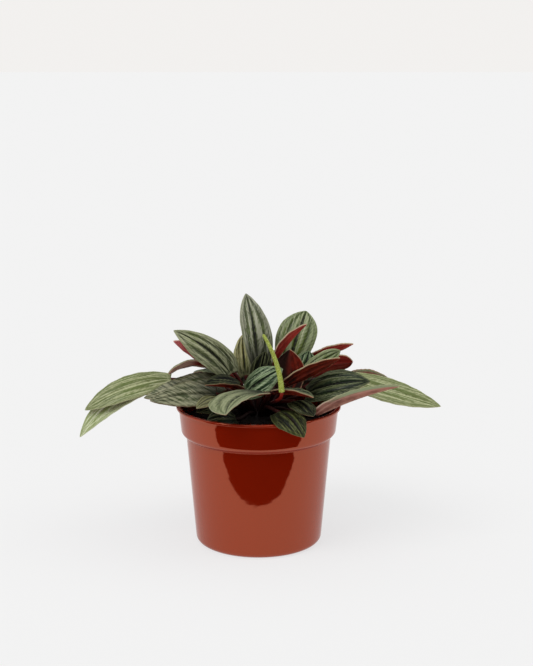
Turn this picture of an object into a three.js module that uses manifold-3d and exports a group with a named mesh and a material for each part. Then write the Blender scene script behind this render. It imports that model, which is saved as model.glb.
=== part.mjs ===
import * as THREE from "three";
import { mergeVertices } from "three/addons/utils/BufferGeometryUtils.js";
import Module from "manifold-3d";

// A potted peperomia with ribbed, red-backed leaves: a low rosette on fleshy red stalks, which rise from
// one short crown in potting soil, in a glossy plastic nursery pot. Millimetres, +Z up. The origin is the
// centre of the pot's foot, on the surface that the pot stands on, and -Y is the side that the plant shows.

const wasm = await Module();
wasm.setup();

// Pot: one injection-moulded wall with a wider collar, a thin lip and a foot ring round a raised drain
// channel.
const POT_HEIGHT = 102;
const POT_SIDES = 36;
const WALL = 1.3;
const LIP_RADIUS = 60;
const LIP_HEIGHT = 1.6;
const LIP_UNDERCUT = 0.4;
const COLLAR_TOP_RADIUS = 58.2;
const COLLAR_FOOT_RADIUS = 56.6;
const COLLAR_FOOT_Z = 83.5;
const COLLAR_EDGE = 0.4;
const STEP_Z = 79.5;
const WALL_TOP_RADIUS = 53.2;
const WALL_FOOT_RADIUS = 46;
const FOOT_ROUND = 5;
const FOOT_RADIUS = 43.4;
const FOOT_CORNER = [45, 1.7];
const CHANNEL_OUTER = 39;
const CHANNEL_INNER = 27;
const CHANNEL_RISE = 2.4;
const FLOOR_TOP = 4.2;
const FLOOR_CORNER = 3;
const DRAIN_HOLES = 8;
const DRAIN_RADIUS = 3.4;
const DRAIN_SIDES = 8;

// Soil: fills the pot to a little under the lip. The gap is what keeps it clear of the wall and of the
// crown.
const GAP = 0.3;
const SOIL_TOP = 90.5;
const SOIL_MOUND = 1.5;
const SOIL_RINGS = 5;
const SOIL_RELIEF = 0.8;

// Crown: the short thick stem that every leaf stalk grows from, set in a plain hole in the soil.
const CROWN_RADIUS = 12;
const CROWN_SHOULDER = 84.5;
const CROWN_TOP = 98;
const CROWN_TOP_RADIUS = 6.6;
const CROWN_FOOT = 74;
const CROWN_FOOT_RADIUS = 5;
const CROWN_SIDES = 12;

// Leaf stalks: round red tubes that start inside the crown, further out the further they reach, and bend
// over into the blade. The lean is how far a stalk leaves the crown outwards for each millimetre that it
// rises, and the two pulls are how long it keeps its first and its last direction, as shares of its length.
const STALK_RADIUS = 1.35;
const STALK_SIDES = 5;
const STALK_STEPS = 6;
const STALK_LEAN = 0.35;
const STALK_FIRST_PULL = 0.4;
const STALK_LAST_PULL = 0.22;
const ROOT_INNER = 2.5;
const ROOT_OUTER = 8.5;
const ROOT_Z = 93;
const LONGEST_REACH = 60;

// Blades: thin and fleshy, with sunken veins and swollen ridges between them, a rolled margin and two small
// lobes beside the stalk. Widths and ridge heights are shares of the blade's width, and places are shares
// of its length.
const BLADE = 1.0;
const WIDEST = 0.42;
const TAPER = 1.8;
const BASE_WIDTH = 0.5;
const LOPSIDED_OVER = 0.3;
const LOBE = 0.22;
const LOBE_REACH = 0.3;
const ROLL = 0.12;
const RIDGE = 0.032;
const RIDGE_START = 0.2;
const RIDGE_FADE = 0.35;
const STATIONS = [0, 0.1, 0.26, 0.46, 0.66, 0.84, 1];
const NARROW_BLADE = 18;

// The leaves that the plant shows, one a row: where the blade starts, where it ends, its full width, and
// the way that its upper side faces, in degrees round from +X and degrees up. Then come the arch, which
// lifts the middle of the midrib by a share of the blade's length, and the fold, which raises both halves
// into a channel, in degrees. A last entry changes the outline (widest, taper), makes the two halves differ
// (lop, shift), bends the midrib sideways like the arch (bend) or leans the stalk.
const SHOWN_LEAVES = [
  leaf("top", [-0.5, 10, 128], [-9.5, 34, 178], 22.7, [-80, 20], 0.06, 12, {
    widest: 0.45,
    taper: 1.9,
    lop: 0.17,
    shift: 0.1,
    bend: 0.012,
  }),
  leaf("upper_left", [-20, -8, 126], [-61, -6, 158], 22.7, [-105, 40], 0.09, 8, {
    widest: 0.35,
    taper: 1.65,
    shift: 0.15,
    bend: 0.055,
  }),
  leaf("upper_right", [23, 30, 126], [36, 46, 162.5], 30, [-95, 25], 0.06, 8, {
    widest: 0.48,
    taper: 2.5,
    lop: -0.06,
    shift: -0.04,
  }),
  leaf("inner_left", [-9, 18, 119], [-11.5, 34, 147], 17, [-110, 15], 0.05, 26),
  leaf("red_sail", [13, 8, 134], [35, 8, 160], 21, [155, 30], 0.04, 22),
  leaf("red_centre", [22, -8, 114], [22.5, -6, 144], 26, [105, 20], 0.04, 12),
  leaf("behind_sail", [32, 6, 122], [37, 12, 139], 20, [-80, 25], 0.06, 10),
  leaf("small_centre", [0, -2, 117], [5, 2, 141], 17, [-90, 20], 0.05, 12),
  leaf("red_channel", [19, -18, 121], [58, -18, 140.5], 19, [100, 50], 0, 14),
  leaf("behind_channel", [35, 1, 127.5], [59.5, 2, 141.5], 12, [-90, 25], 0.04, 6, { taper: 3 }),
  leaf("red_far", [34, 22, 126], [70, 18, 143], 17, [105, 48], 0.02, 20),
  leaf("red_round", [35, 16, 120], [70, 20, 129], 21, [100, 40], 0.08, 8, { taper: 5 }),
  leaf("right_broad", [35, -9, 112], [79, -27, 125], 27, [-100, 52], 0.09, 8),
  leaf("right_long", [66, -2, 121], [131, -16, 104], 22, [-88, 50], 0, 10, { lean: 0.6 }),
  leaf("right_keel", [40, -37, 103.5], [97, -52, 128], 23, [90, 79], 0.03, 36),
  leaf("right_edge", [61, 14, 116], [97, 9, 117], 19, [90, 60], 0.14, 12),
  leaf("front_right", [12, -31, 118], [38, -53, 120.3], 16, [90, 78], 0.03, 30),
  leaf("rim_outer", [14, -46, 108], [31, -69, 96], 22.5, [-70, 45], 0.14, -6),
  leaf("rim_inner", [24.5, -36, 113], [38, -54, 107], 17.4, [-60, 45], 0.12, -4, { taper: 2.5 }),
  leaf("centre", [-8, -21, 116.3], [17.3, -26, 134.2], 21, [-100, 38], 0.08, 4),
  leaf("front_left", [4, -43, 120.5], [-22, -78, 114.5], 27, [-140, 66], 0.07, 12, {
    widest: 0.55,
    lop: 0.25,
    shift: -0.1,
    bend: 0.16,
  }),
  leaf("front_curl", [-26, -34, 114.5], [-43, -53, 112.5], 15, [-110, 62], 0.13, -6),
  leaf("left_channel", [-14, -18, 118.5], [-38, -30, 123.5], 21, [-90, 76], 0.03, 38),
  leaf("left_silver", [-26, -8, 119.5], [-83, -8, 108.5], 23, [-100, 42], 0.06, 4, {
    widest: 0.32,
    taper: 1.6,
  }),
  leaf("left_low", [-30, -19, 114], [-76.5, -34, 113], 20, [-95, 42], 0.08, 4),
  leaf("left_long", [-64, 12, 117.5], [-126, -6, 99], 22, [-85, 52], 0.125, 6, { taper: 2.2, lean: 1 }),
  leaf("left_droop", [-77, 14, 113], [-130, -7, 79], 18, [-95, 45], 0.15, 8, {
    taper: 2.1,
    bend: 0.045,
    lean: 1,
  }),
  leaf("left_hook", [-25, 0, 124], [-65, -8, 126.5], 18, [80, 60], 0.2, 8, { widest: 0.68, taper: 5 }),
  leaf("left_red", [-20, 8, 125], [-62, 5, 148], 20, [100, 40], 0.03, 14),
  leaf("low_left", [-16, -32, 99], [-36, -41.5, 101], 19, [-90, 55], 0.14, 0),
  leaf("low_side", [-28, -17, 104], [-44, -27, 103], 15, [-100, 60], 0.1, 4),
];

// The leaves of the far side, which spread out evenly in a lower and an upper layer, one a row: degrees
// round from +X, the radius and height of the blade's start and of its end, and its width. Neighbours
// differ in height, so that each lies over the edge of the next. Their upper sides face up and outwards.
const BACK_FACE = 58;
const BACK_ARCH = 0.13;
const BACK_FOLD = 8;
const BACK_LEAVES = [
  backLeaf("back_low_1", 17, [47, 109], [104, 97], 26),
  backLeaf("back_low_2", 41, [44, 107], [101, 95], 27),
  backLeaf("back_low_3", 65, [43, 110], [97, 98], 26),
  backLeaf("back_low_4", 89, [38, 106], [99, 97], 27),
  backLeaf("back_low_5", 113, [36, 108.6], [93, 97.4], 25.4),
  backLeaf("back_low_6", 137, [43, 105], [97, 92], 25),
  backLeaf("back_low_7", 161, [44, 104], [86, 98], 20),
  backLeaf("back_high_1", 40, [46, 117], [88, 112], 23),
  backLeaf("back_high_2", 62, [38, 119], [82, 117], 24),
  backLeaf("back_high_3", 86, [37, 121], [83, 121], 25),
  backLeaf("back_high_4", 109, [37, 119], [80, 117], 22),
  backLeaf("back_high_5", 130, [38, 117], [78, 107], 22),
  backLeaf("back_high_6", 147, [40, 112.5], [80, 104], 20),
];
const LEAVES = [...SHOWN_LEAVES, ...BACK_LEAVES];

// The flower: a thin green spike on a red stalk of its own, set with tiny florets that are drawn as relief,
// and slightly bowed.
const SPIKE_BASE = [16, -48, 123];
const SPIKE_TIP = [3, -50, 164];
const SPIKE_BOW = 2.6;
const SPIKE_RADIUS = 1.9;
const SPIKE_TIP_RADIUS = 1.0;
const SPIKE_SHOULDER = 0.97;
const SPIKE_SIDES = 8;
const SPIKE_RINGS = 14;
const SPIKE_BUMP = 0.16;

const vec = (p) => new THREE.Vector3(...p);
const radians = THREE.MathUtils.degToRad;

function leaf(name, base, tip, width, face, arch, fold, change = {}) {
  const plain = { bend: 0, widest: WIDEST, taper: TAPER, lop: 0, shift: 0, lean: STALK_LEAN };
  return { name: `leaf_${name}`, base, tip, width, face, arch, fold, ...plain, ...change };
}

function backLeaf(name, round, from, to, width) {
  const angle = (round * Math.PI) / 180;
  const place = ([radius, z]) => [radius * Math.cos(angle), radius * Math.sin(angle), z];
  return leaf(name, place(from), place(to), width, [round, BACK_FACE], BACK_ARCH, BACK_FOLD);
}

// A closed mesh's geometry as a solid that can be joined and cut.
function solidOf(geometry) {
  const bare = geometry.index ? geometry.toNonIndexed() : geometry.clone();
  bare.deleteAttribute("normal");
  bare.deleteAttribute("uv");
  const merged = mergeVertices(bare, 1e-4);
  return new wasm.Manifold(
    new wasm.Mesh({
      numProp: 3,
      vertProperties: merged.attributes.position.array,
      triVerts: new Uint32Array(merged.index.array),
    }),
  );
}

function geometryOf(solid) {
  const { vertProperties, triVerts } = solid.getMesh();
  const geometry = new THREE.BufferGeometry();
  geometry.setAttribute("position", new THREE.BufferAttribute(vertProperties, 3));
  geometry.setIndex(new THREE.BufferAttribute(triVerts, 1));
  geometry.computeVertexNormals();
  return geometry;
}

// A solid turned about +Z from a profile of [radius, height] points, listed upwards on the outside.
function turned(profile, sides) {
  const points = profile.map(([r, z]) => new THREE.Vector2(r, z));
  return new THREE.LatheGeometry(points, sides).rotateX(Math.PI / 2);
}

function wallRadiusAt(z) {
  return WALL_FOOT_RADIUS + ((WALL_TOP_RADIUS - WALL_FOOT_RADIUS) * z) / COLLAR_FOOT_Z;
}

// The inside of the pot from the middle of its floor up to the foot of the collar, drawn in by a gap for
// the soil.
function insideProfile(gap) {
  const corner = FLOOR_TOP + FLOOR_CORNER;
  return [
    [0, FLOOR_TOP + gap],
    [wallRadiusAt(FLOOR_TOP) - WALL - FLOOR_CORNER, FLOOR_TOP + gap],
    [wallRadiusAt(corner) - WALL - gap, corner + gap],
    [wallRadiusAt(STEP_Z) - WALL - gap, STEP_Z - COLLAR_EDGE],
    [COLLAR_FOOT_RADIUS - WALL - gap, COLLAR_FOOT_Z],
  ];
}

function potGeometry() {
  const wall = [
    [0, 0],
    [CHANNEL_INNER, 0],
    [CHANNEL_INNER, CHANNEL_RISE],
    [CHANNEL_OUTER, CHANNEL_RISE],
    [CHANNEL_OUTER, 0],
    [FOOT_RADIUS, 0],
    FOOT_CORNER,
    [wallRadiusAt(FOOT_ROUND), FOOT_ROUND],
    [wallRadiusAt(STEP_Z), STEP_Z],
    [COLLAR_FOOT_RADIUS - COLLAR_EDGE, COLLAR_FOOT_Z - 2 * COLLAR_EDGE],
    [COLLAR_FOOT_RADIUS, COLLAR_FOOT_Z],
    [COLLAR_TOP_RADIUS, POT_HEIGHT - LIP_HEIGHT - LIP_UNDERCUT],
    [LIP_RADIUS, POT_HEIGHT - LIP_HEIGHT],
    [LIP_RADIUS, POT_HEIGHT],
    [COLLAR_TOP_RADIUS - WALL, POT_HEIGHT],
    ...insideProfile(0).reverse(),
  ];
  const drill = new THREE.CylinderGeometry(DRAIN_RADIUS, DRAIN_RADIUS, 3 * FLOOR_TOP, DRAIN_SIDES);
  const radius = (CHANNEL_INNER + CHANNEL_OUTER) / 2;
  drill.rotateX(Math.PI / 2).translate(radius, 0, 0);
  let pot = solidOf(turned(wall, POT_SIDES));
  for (let i = 0; i < DRAIN_HOLES; i++) {
    pot = pot.subtract(solidOf(drill.clone().rotateZ((2 * Math.PI * i) / DRAIN_HOLES)));
  }
  return geometryOf(pot);
}

// The crown's outline, grown by a margin so that the soil's hole is the same shape.
function crownProfile(margin) {
  return [
    [0, CROWN_FOOT - margin],
    [CROWN_FOOT_RADIUS + margin, CROWN_FOOT - margin],
    [CROWN_RADIUS + margin, CROWN_SHOULDER],
    [CROWN_RADIUS + margin, SOIL_TOP + SOIL_MOUND],
    [CROWN_TOP_RADIUS + margin, CROWN_TOP + margin],
    [0, CROWN_TOP + margin],
  ];
}

// The soil's crumbs: a sum of waves with no common period, so that it never repeats on the surface.
function crumbs(x, y) {
  return SOIL_RELIEF * (Math.sin(0.41 * x + 1.3) * Math.cos(0.37 * y) + 0.6 * Math.sin(0.83 * y + 0.29 * x));
}

function soilGeometry() {
  const profile = insideProfile(GAP);
  for (let ring = 0; ring < SOIL_RINGS; ring++) {
    const share = 1 - ring / SOIL_RINGS;
    const radius = (COLLAR_FOOT_RADIUS - WALL - GAP) * share;
    profile.push([radius, SOIL_TOP + SOIL_MOUND * (1 - share * share)]);
  }
  profile.push([0, SOIL_TOP + SOIL_MOUND]);
  const soil = turned(profile, POT_SIDES);
  const p = soil.attributes.position;
  for (let i = 0; i < p.count; i++) {
    const [x, y, z] = [p.getX(i), p.getY(i), p.getZ(i)];
    if (z > COLLAR_FOOT_Z + GAP) p.setZ(i, z + crumbs(x, y));
  }
  return geometryOf(solidOf(soil).subtract(solidOf(turned(crownProfile(GAP), CROWN_SIDES))));
}

// A leaf's own frame: along its chord, up out of its upper side, and across.
function frameOf(leaf) {
  const base = vec(leaf.base);
  const chord = vec(leaf.tip).sub(base);
  const length = chord.length();
  const along = chord.divideScalar(length);
  const [round, up] = leaf.face.map(radians);
  const level = Math.cos(up);
  const facing = new THREE.Vector3(level * Math.cos(round), level * Math.sin(round), Math.sin(up));
  const normal = facing.addScaledVector(along, -facing.dot(along)).normalize();
  return { base, length, along, normal, across: new THREE.Vector3().crossVectors(along, normal) };
}

// How wide one half of a blade is. A lopsided blade has one half wider, and widest nearer the stalk.
function halfWidth({ width, widest, taper, lop, shift }, s, t) {
  const side = Math.max(-1, Math.min(1, t / LOPSIDED_OVER));
  const peak = widest - shift * side;
  const u = s < peak ? (peak - s) / peak : (s - peak) / (1 - peak);
  const share = s < peak ? Math.sqrt(1 - (1 - BASE_WIDTH ** 2) * u * u) : 1 - u ** taper;
  return (width / 2) * (1 + lop * side) * share;
}

// How far the blade's surface swells at a share s of its length and a share t of its half width: sunken at
// the midrib, halfway out and at the margin, and swollen between.
function ridgeHeight(leaf, s, t) {
  const grown = Math.min(1, s / RIDGE_START);
  const fade = 1 - RIDGE_FADE * Math.abs(t);
  return -2 * RIDGE * halfWidth(leaf, s, t) * grown * fade * Math.cos(4 * Math.PI * t);
}

// The blade's middle surface, at a share s of its length and a share t of its half width, and the way out
// of its upper side there.
function bladePoint(leaf, frame, s, t) {
  const { base, length, along, normal, across } = frame;
  const bow = 4 * s * (1 - s) * length;
  const slope = 4 * (1 - 2 * s);
  const tangent = along
    .clone()
    .addScaledVector(normal, leaf.arch * slope)
    .addScaledVector(across, leaf.bend * slope)
    .normalize();
  const side = across.clone().addScaledVector(tangent, -across.dot(tangent)).normalize();
  const up = new THREE.Vector3().crossVectors(side, tangent);
  const half = halfWidth(leaf, s, t);
  const fold = radians(leaf.fold);
  const swept = LOBE * (leaf.width / 2) * t * t * Math.max(0, 1 - s / LOBE_REACH) ** 2;
  const lifted = half * (Math.abs(t) * Math.sin(fold) - ROLL * t * t);
  const point = base
    .clone()
    .addScaledVector(along, s * length)
    .addScaledVector(normal, leaf.arch * bow)
    .addScaledVector(across, leaf.bend * bow)
    .addScaledVector(tangent, -swept)
    .addScaledVector(side, half * t * Math.cos(fold))
    .addScaledVector(up, lifted + ridgeHeight(leaf, s, t));
  return { point, up, tangent };
}

// Shares of the half width at which the blade's grid has its lines: a narrow blade has half as many.
function gridShares({ width }) {
  const lines = width < NARROW_BLADE ? 2 : 4;
  return Array.from({ length: 2 * lines + 1 }, (_, i) => i / lines - 1);
}

// A thin closed blade: the upper and lower faces are one grid split alike, joined round the margin and
// drawn in to one point at the tip.
function bladeGeometry(leaf) {
  const frame = frameOf(leaf);
  const shares = gridShares(leaf);
  const rows = STATIONS.length - 1;
  const columns = shares.length;
  const position = [];
  const index = [];
  for (const side of [1, -1]) {
    for (const s of STATIONS.slice(0, rows)) {
      for (const t of shares) {
        const { point, up } = bladePoint(leaf, frame, s, t);
        position.push(...point.addScaledVector(up, (side * BLADE) / 2));
      }
    }
    const { point, up } = bladePoint(leaf, frame, 1, 0);
    position.push(...point.addScaledVector(up, (side * BLADE) / 2));
  }
  const sheet = rows * columns + 1;
  const at = (row, column, side) => (side > 0 ? 0 : sheet) + row * columns + column;
  const tip = (side) => (side > 0 ? 0 : sheet) + rows * columns;
  const face = (side, a, b, c) => (side > 0 ? index.push(a, b, c) : index.push(a, c, b));
  const wall = (a, b) => index.push(a, b, b + sheet, a, b + sheet, a + sheet);
  for (const side of [1, -1]) {
    for (let column = 0; column < columns - 1; column++) {
      for (let row = 0; row < rows - 1; row++) {
        face(side, at(row, column, side), at(row, column + 1, side), at(row + 1, column + 1, side));
        face(side, at(row, column, side), at(row + 1, column + 1, side), at(row + 1, column, side));
      }
      face(side, at(rows - 1, column, side), at(rows - 1, column + 1, side), tip(side));
    }
  }
  for (let column = 0; column < columns - 1; column++) wall(at(0, column + 1, 1), at(0, column, 1));
  for (let row = 0; row < rows - 1; row++) {
    wall(at(row, 0, 1), at(row + 1, 0, 1));
    wall(at(row + 1, columns - 1, 1), at(row, columns - 1, 1));
  }
  wall(at(rows - 1, 0, 1), tip(1));
  wall(tip(1), at(rows - 1, columns - 1, 1));
  const geometry = new THREE.BufferGeometry();
  geometry.setAttribute("position", new THREE.Float32BufferAttribute(position, 3));
  geometry.setIndex(index);
  geometry.computeVertexNormals();
  return geometry;
}

// The route of a stalk: up and out of the crown, then over into the way that it ends.
function stalkRoute(base, ending, lean) {
  const outward = new THREE.Vector3(base.x, base.y, 0);
  const share = Math.min(1, outward.length() / LONGEST_REACH);
  outward.normalize();
  const root = outward.clone().multiplyScalar(ROOT_INNER + (ROOT_OUTER - ROOT_INNER) * share);
  root.z = ROOT_Z;
  const span = root.distanceTo(base);
  const leaving = new THREE.Vector3(lean * outward.x, lean * outward.y, 1).normalize();
  const end = base.clone().addScaledVector(ending, -GAP);
  return new THREE.CubicBezierCurve3(
    root,
    root.clone().addScaledVector(leaving, STALK_FIRST_PULL * span),
    end.clone().addScaledVector(ending, -STALK_LAST_PULL * span),
    end,
  );
}

function stalk(base, ending, lean) {
  const corners = Array.from({ length: STALK_SIDES }, (_, i) => {
    const angle = (2 * Math.PI * i) / STALK_SIDES;
    return new THREE.Vector2(STALK_RADIUS * Math.cos(angle), STALK_RADIUS * Math.sin(angle));
  });
  const extrudePath = stalkRoute(base, ending, lean);
  return new THREE.ExtrudeGeometry(new THREE.Shape(corners), { steps: STALK_STEPS, extrudePath });
}

function crownGeometry() {
  let crown = solidOf(turned(crownProfile(0), CROWN_SIDES));
  for (const leaf of LEAVES) {
    const frame = frameOf(leaf);
    const { tangent } = bladePoint(leaf, frame, 0, 0);
    crown = crown.add(solidOf(stalk(frame.base, tangent, leaf.lean)));
  }
  const { base, length, turn } = spikeFrame();
  const spikeStart = new THREE.Vector3((4 * SPIKE_BOW) / length, 0, 1).normalize().applyQuaternion(turn);
  return geometryOf(crown.add(solidOf(stalk(base, spikeStart, STALK_LEAN))));
}

// The spike's start, its length and the turn that lays +Z along it.
function spikeFrame() {
  const base = vec(SPIKE_BASE);
  const axis = vec(SPIKE_TIP).sub(base);
  const length = axis.length();
  const turn = new THREE.Quaternion().setFromUnitVectors(new THREE.Vector3(0, 0, 1), axis.normalize());
  return { base, length, turn };
}

// Alternate points of each ring stand out, turn about, as the florets do. Then the spike is bowed sideways.
function spikeGeometry() {
  const { base, length, turn } = spikeFrame();
  const profile = [[0, 0]];
  for (let ring = 0; ring <= SPIKE_RINGS; ring++) {
    const share = ring / SPIKE_RINGS;
    const radius = SPIKE_RADIUS + (SPIKE_TIP_RADIUS - SPIKE_RADIUS) * share;
    profile.push([radius, SPIKE_SHOULDER * share * length]);
  }
  profile.push([0, length]);
  const spike = turned(profile, SPIKE_SIDES);
  const p = spike.attributes.position;
  for (let i = 0; i < p.count; i++) {
    const [x, y, share] = [p.getX(i), p.getY(i), p.getZ(i) / length];
    const radius = Math.hypot(x, y);
    const side = Math.round((Math.atan2(y, x) / (2 * Math.PI)) * SPIKE_SIDES);
    const standsOut = radius > SPIKE_TIP_RADIUS / 2 && (side + Math.round(share * SPIKE_RINGS)) % 2 === 0;
    const grow = 1 + (standsOut ? SPIKE_BUMP / radius : 0);
    p.setXY(i, x * grow + 4 * SPIKE_BOW * share * (1 - share), y * grow);
  }
  return spike.applyQuaternion(turn).translate(base.x, base.y, base.z);
}

const POT_PLASTIC = new THREE.MeshStandardMaterial({ color: "#8e2f1c", roughness: 0.22, metalness: 0 });
const SOIL_PEAT = new THREE.MeshStandardMaterial({ color: "#2a1d15", roughness: 0.95, metalness: 0 });
const STALK_RED = new THREE.MeshStandardMaterial({ color: "#7c1f24", roughness: 0.45, metalness: 0 });
const BLADE_GREEN = new THREE.MeshStandardMaterial({ color: "#5f7058", roughness: 0.4, metalness: 0 });
const SPIKE_GREEN = new THREE.MeshStandardMaterial({ color: "#9db63c", roughness: 0.5, metalness: 0 });

const plant = new THREE.Group();

function addPiece(name, geometry, material) {
  const mesh = new THREE.Mesh(geometry, material);
  mesh.name = name;
  plant.add(mesh);
}

addPiece("pot", potGeometry(), POT_PLASTIC);
addPiece("soil", soilGeometry(), SOIL_PEAT);
addPiece("crown_and_stalks", crownGeometry(), STALK_RED);
for (const leaf of LEAVES) addPiece(leaf.name, bladeGeometry(leaf), BLADE_GREEN);
addPiece("flower_spike", spikeGeometry(), SPIKE_GREEN);

export default plant;
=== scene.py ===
import math
import random

import bmesh
import bpy
import numpy as np
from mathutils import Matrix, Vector, noise


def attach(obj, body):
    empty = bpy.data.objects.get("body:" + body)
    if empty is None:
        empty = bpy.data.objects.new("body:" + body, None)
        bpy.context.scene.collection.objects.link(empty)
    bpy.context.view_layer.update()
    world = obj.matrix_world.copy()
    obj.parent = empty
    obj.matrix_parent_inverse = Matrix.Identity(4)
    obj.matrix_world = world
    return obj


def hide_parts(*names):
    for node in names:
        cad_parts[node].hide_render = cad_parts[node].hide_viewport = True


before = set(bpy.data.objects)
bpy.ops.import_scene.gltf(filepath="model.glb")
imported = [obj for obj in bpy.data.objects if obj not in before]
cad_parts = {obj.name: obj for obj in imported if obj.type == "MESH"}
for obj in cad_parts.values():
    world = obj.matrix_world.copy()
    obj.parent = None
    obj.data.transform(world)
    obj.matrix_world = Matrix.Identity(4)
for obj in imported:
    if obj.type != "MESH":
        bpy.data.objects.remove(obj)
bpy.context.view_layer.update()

# Studio: a pale sheet lit from under as well as from above, so that hardly a shadow falls on it, a bright
# soft ceiling, a soft box from each side above and a dark flag that lies in front, where only the pot's
# gloss can see it.
MM = 0.001


def linear(hex_colour):
    """An sRGB hex colour as the linear red, green, blue and alpha that a material takes."""
    parts = [int(hex_colour[i:i + 2], 16) / 255 for i in (1, 3, 5)]
    return [p / 12.92 if p <= 0.04045 else ((p + 0.055) / 1.055) ** 2.4 for p in parts] + [1.0]


def add(tree, kind, inputs=None, **settings):
    """Adds one shader node. An input takes a value, an output, or a node, which gives its first output."""
    made = tree.nodes.new("ShaderNode" + kind)
    for name, value in settings.items():
        setattr(made, name, value)
    for name, value in (inputs or {}).items():
        if isinstance(value, bpy.types.Node):
            value = value.outputs[0]
        if isinstance(value, bpy.types.NodeSocket):
            tree.links.new(value, made.inputs[name])
        else:
            made.inputs[name].default_value = value
    return made


def new_material(name):
    """An empty material and its node tree."""
    material = bpy.data.materials.new(name)
    material.use_nodes = True
    material.node_tree.nodes.clear()
    return material, material.node_tree


def finish_material(tree, inputs):
    """Puts the shader at the end of a material's nodes."""
    shader = add(tree, "BsdfPrincipled", inputs)
    add(tree, "OutputMaterial", {"Surface": shader})


def new_object(name, points, faces, *materials):
    """A smooth mesh object from points in millimetres."""
    mesh = bpy.data.meshes.new(name)
    mesh.from_pydata((np.asarray(points) * MM).tolist(), [], faces)
    for material in materials:
        mesh.materials.append(material)
    mesh.shade_smooth()
    thing = bpy.data.objects.new(name, mesh)
    bpy.context.scene.collection.objects.link(thing)
    return thing


scene = bpy.context.scene
scene.view_settings.view_transform = "Standard"

CAMERA_PLACE = (0, -0.9577, 0.3478)
CAMERA_DIP = 11.394
CAMERA_TURN = -0.345
SENSOR_WIDTH = 36
LENS = 73.17

camera = bpy.data.objects.new("camera", bpy.data.cameras.new("camera"))
camera.data.sensor_width = SENSOR_WIDTH
camera.data.lens = LENS
camera.location = CAMERA_PLACE
camera.rotation_euler = (math.radians(90 - CAMERA_DIP), 0, math.radians(CAMERA_TURN))
scene.collection.objects.link(camera)
scene.camera = camera

SHEET_GREY = "#807f7e"
BACKDROP_WHITE = "#fdfeff"
SHEET_GLOW = 0.675
FLOOR_REACH = 40000

paper, tree = new_material("matt backlit acrylic sheet")
finish_material(tree, {"Base Color": linear(SHEET_GREY), "Roughness": 0.9, "Specular IOR Level": 0.0,
                       "Emission Color": linear(BACKDROP_WHITE), "Emission Strength": SHEET_GLOW})
corners = [(-FLOOR_REACH, -FLOOR_REACH, 0), (FLOOR_REACH, -FLOOR_REACH, 0),
           (FLOOR_REACH, FLOOR_REACH, 0), (-FLOOR_REACH, FLOOR_REACH, 0)]
floor = new_object("floor", corners, [(0, 1, 2, 3)], paper)

FLAG_START = 123
FLAG_WIDTH = 3000
FLAG_REACH = 3000
FLAG_LIFT = 0.5

flag_cloth, tree = new_material("black flag cloth")
finish_material(tree, {"Base Color": linear("#050505"), "Roughness": 1.0, "Specular IOR Level": 0.0})
corners = [(-FLAG_WIDTH, -FLAG_REACH, FLAG_LIFT), (FLAG_WIDTH, -FLAG_REACH, FLAG_LIFT),
           (FLAG_WIDTH, -FLAG_START, FLAG_LIFT), (-FLAG_WIDTH, -FLAG_START, FLAG_LIFT)]
flag = new_object("black_flag", corners, [(0, 1, 2, 3)], flag_cloth)
flag.visible_camera = False
flag.visible_diffuse = False
flag.visible_shadow = False

HORIZON_LIGHT = 0.9
HORIZON_FADE = (0.07, 0.2)
SIDE_LIGHT = 0.26
CEILING_LIGHT = 0.95
CEILING_FADE = (0.5, 0.8)
STUDIO_WHITE = "#fefcfa"

world = bpy.data.worlds.new("studio")
world.use_nodes = True
tree = world.node_tree
tree.nodes.clear()
direction = add(tree, "TexCoord")
height = add(tree, "SeparateXYZ", {0: direction.outputs["Generated"]})
dimmed = add(tree, "MapRange", {"Value": height.outputs["Z"], "From Min": HORIZON_FADE[0],
                                          "From Max": HORIZON_FADE[1], "To Min": HORIZON_LIGHT,
                                          "To Max": SIDE_LIGHT})
ceiling = add(tree, "MapRange", {"Value": height.outputs["Z"], "From Min": CEILING_FADE[0],
                                           "From Max": CEILING_FADE[1], "To Min": 0,
                                           "To Max": CEILING_LIGHT - SIDE_LIGHT})
light = add(tree, "Math", {0: dimmed, 1: ceiling}, operation="ADD")
glow = add(tree, "Background", {"Color": linear(STUDIO_WHITE), "Strength": light})
add(tree, "OutputWorld", {"Surface": glow})
scene.world = world


def soft_box(name, direction, spread, strength):
    """A broad far-off soft box: the way that it shines, how many degrees wide it looks, and its strength."""
    lamp = bpy.data.objects.new(name, bpy.data.lights.new(name, "SUN"))
    lamp.data.angle = math.radians(spread)
    lamp.data.energy = strength
    lamp.rotation_euler = Vector(direction).to_track_quat("-Z", "Y").to_euler()
    scene.collection.objects.link(lamp)


soft_box("upper_left_box", (0.6, 0.55, -1.0), 35, 1.15)
soft_box("upper_right_box", (-0.9, 0.1, -1.0), 45, 0.55)

# Pot: a nursery pot, injection moulded in one piece of glossy terracotta-red polypropylene. Its collar
# stands out from the wall for stacking, its lip is thin, and its foot ring has drain holes.
POT_SIDES = 160
POT_HEIGHT = 102
WALL = 1.3
LIP_RADIUS = 60
LIP_HEIGHT = 1.6
LIP_UNDERCUT = 0.4
COLLAR_TOP_RADIUS = 58.2
COLLAR_FOOT_RADIUS = 56.6
COLLAR_FOOT_Z = 83.5
STEP_Z = 79.5
INNER_STEP_Z = 79.1
WALL_TOP_RADIUS = 53.2
WALL_FOOT_RADIUS = 46
CHANNEL_OUTER = 39
CHANNEL_INNER = 27
CHANNEL_RISE = 2.4
FLOOR_TOP = 4.2
CHANNEL_ROUNDING = 0.7
FOOT_ROUNDING = 4.4
COLLAR_ROUNDING = 4.0
LIP_ROUNDING = 0.6
INNER_ROUNDING = 1.5
ARC_STEPS = 7
SECTION_STEP = 4
DRAIN_HOLES = 8
DRAIN_RADIUS = 3.4
DRILL_ENDS = (-5, 10)
DRILL_SIDES = 24
SHARP_OVER = 40


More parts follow.
